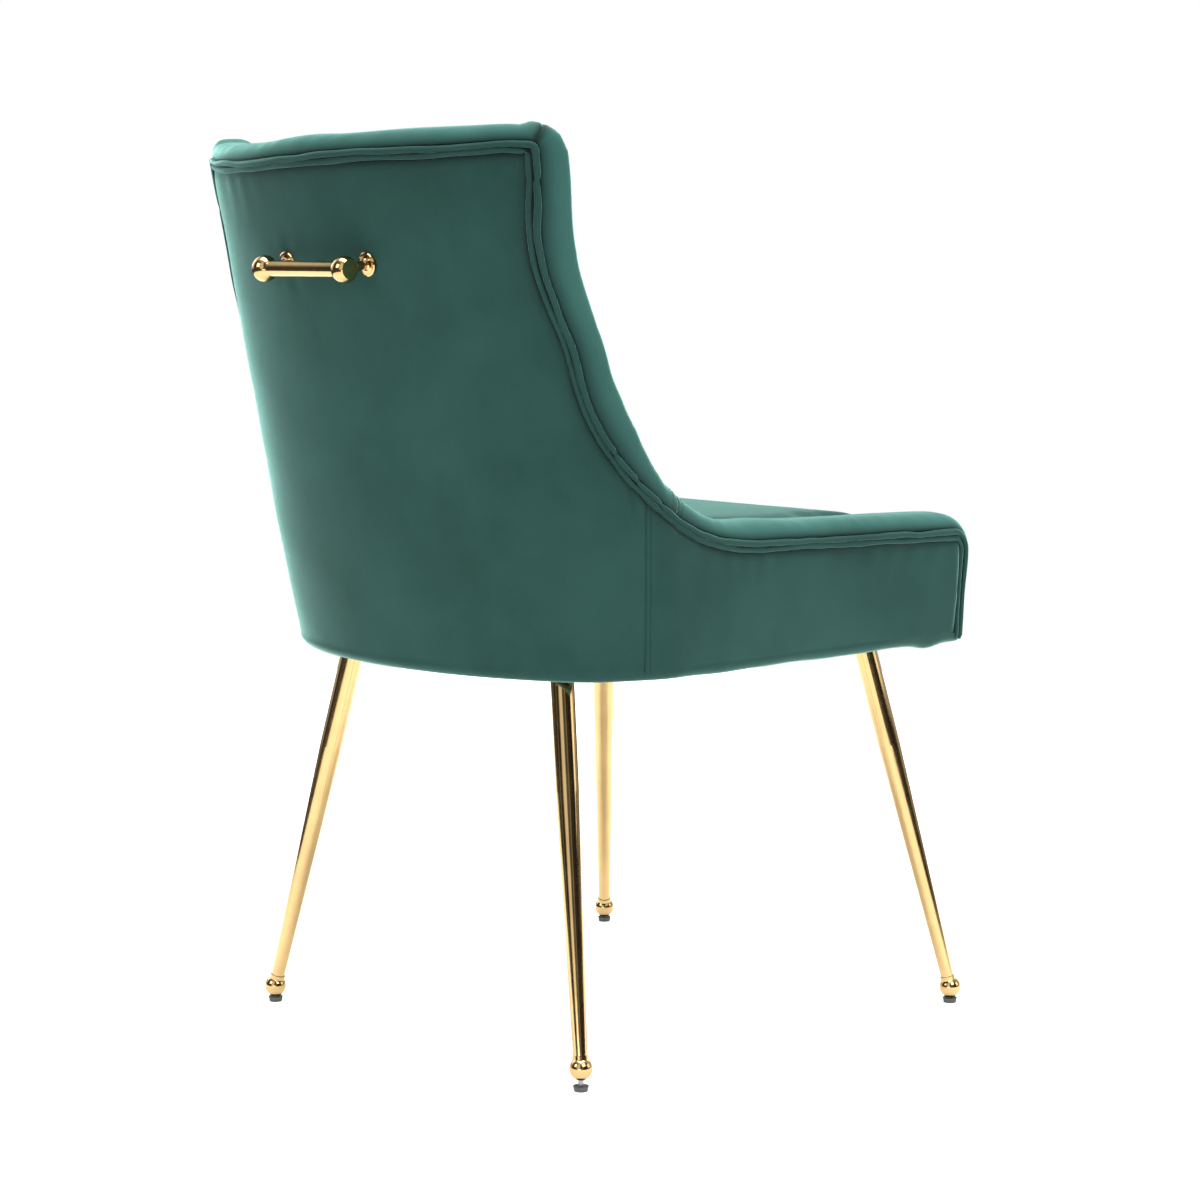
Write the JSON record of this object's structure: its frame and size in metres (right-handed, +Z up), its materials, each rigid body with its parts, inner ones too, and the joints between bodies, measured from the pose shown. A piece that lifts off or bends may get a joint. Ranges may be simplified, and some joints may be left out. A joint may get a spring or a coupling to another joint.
{
  "type": "dining chair",
  "caption": "Velvet dining chair with a curved padded back sweeping into low arms, splayed metal legs with levelling glides and a bar pull behind the back.",
  "frame": {"origin": "on the floor, under the middle of the chair's bounding box", "axes": "+Z up, -Y towards the front of the seat, +X to the occupant's left"},
  "size_m": [0.5346, 0.6372, 0.8648],
  "materials": {
    "velvet": "velvet, dark teal green",
    "foam": "open-cell foam",
    "lining": "non-woven, black",
    "plywood": "raw",
    "gold_metal": "polished gold plating",
    "zinc": "zinc plated",
    "glide_rubber": "matte"
  },
  "bodies": {
    "root": {"moulded_shell": "plywood", "seat_board": "plywood", "front_rail": "plywood", "rear_rail": "plywood", "side_rail_left": "plywood", "side_rail_right": "plywood", "leg_blocks": "plywood", "handle_block": "plywood", "wall_pad": "foam", "edge_roll": "foam", "seat_foam": "foam", "outer_back_cover": "velvet", "side_cover_left": "velvet", "side_cover_right": "velvet", "boxing_band": "velvet", "inner_back_cover": "velvet", "seat_cover": "velvet", "front_border": "velvet", "dust_cover": "lining", "outer_welt": "velvet", "inner_welt": "velvet", "leg_front_left": "gold_metal", "leg_front_right": "gold_metal", "leg_rear_left": "gold_metal", "leg_rear_right": "gold_metal", "ball_front_left": "gold_metal", "ball_front_right": "gold_metal", "ball_rear_left": "gold_metal", "ball_rear_right": "gold_metal", "plate_front_left": "zinc", "plate_front_right": "zinc", "plate_rear_left": "zinc", "plate_rear_right": "zinc", "leg_screws": "zinc", "handle_bar": "gold_metal", "handle_ball_left": "gold_metal", "handle_ball_right": "gold_metal", "handle_post_left": "gold_metal", "handle_post_right": "gold_metal", "handle_rosette_left": "gold_metal", "handle_rosette_right": "gold_metal", "handle_screws": "zinc", "handle_washers": "zinc"},
    "stud_front_left": {"stud_front_left": "zinc"},
    "pad_front_left": {"pad_front_left": "glide_rubber"},
    "stud_front_right": {"stud_front_right": "zinc"},
    "pad_front_right": {"pad_front_right": "glide_rubber"},
    "stud_rear_left": {"stud_rear_left": "zinc"},
    "pad_rear_left": {"pad_rear_left": "glide_rubber"},
    "stud_rear_right": {"stud_rear_right": "zinc"},
    "pad_rear_right": {"pad_rear_right": "glide_rubber"}
  },
  "joints": [
    {"name": "glide_slide_front_left", "type": "slide", "parent": "root", "child": "stud_front_left", "axis": [0, 0, -1], "range_m": [0, 0.008]},
    {"name": "glide_turn_front_left", "type": "hinge", "parent": "stud_front_left", "child": "pad_front_left", "pos_m": [0.25, -0.308, 0.002], "axis": [0, 0, -1], "range_deg": [0, 3601]},
    {"name": "glide_slide_front_right", "type": "slide", "parent": "root", "child": "stud_front_right", "axis": [0, 0, -1], "range_m": [0, 0.008]},
    {"name": "glide_turn_front_right", "type": "hinge", "parent": "stud_front_right", "child": "pad_front_right", "pos_m": [-0.25, -0.308, 0.002], "axis": [0, 0, -1], "range_deg": [0, 3601]},
    {"name": "glide_slide_rear_left", "type": "slide", "parent": "root", "child": "stud_rear_left", "axis": [0, 0, -1], "range_m": [0, 0.008]},
    {"name": "glide_turn_rear_left", "type": "hinge", "parent": "stud_rear_left", "child": "pad_rear_left", "pos_m": [0.223, 0.177, 0.002], "axis": [0, 0, -1], "range_deg": [0, 3601]},
    {"name": "glide_slide_rear_right", "type": "slide", "parent": "root", "child": "stud_rear_right", "axis": [0, 0, -1], "range_m": [-0.004, 0.004]},
    {"name": "glide_turn_rear_right", "type": "hinge", "parent": "stud_rear_right", "child": "pad_rear_right", "pos_m": [-0.223, 0.177, 0.002], "axis": [0, 0, -1], "range_deg": [-1801, 1801]}
  ],
  "couplings": [
    {"joint": "glide_turn_front_left", "follows": "glide_slide_front_left", "rad_per_m": 7854},
    {"joint": "glide_turn_front_right", "follows": "glide_slide_front_right", "rad_per_m": 7854},
    {"joint": "glide_turn_rear_left", "follows": "glide_slide_rear_left", "rad_per_m": 7854},
    {"joint": "glide_turn_rear_right", "follows": "glide_slide_rear_right", "rad_per_m": 7854}
  ]
}
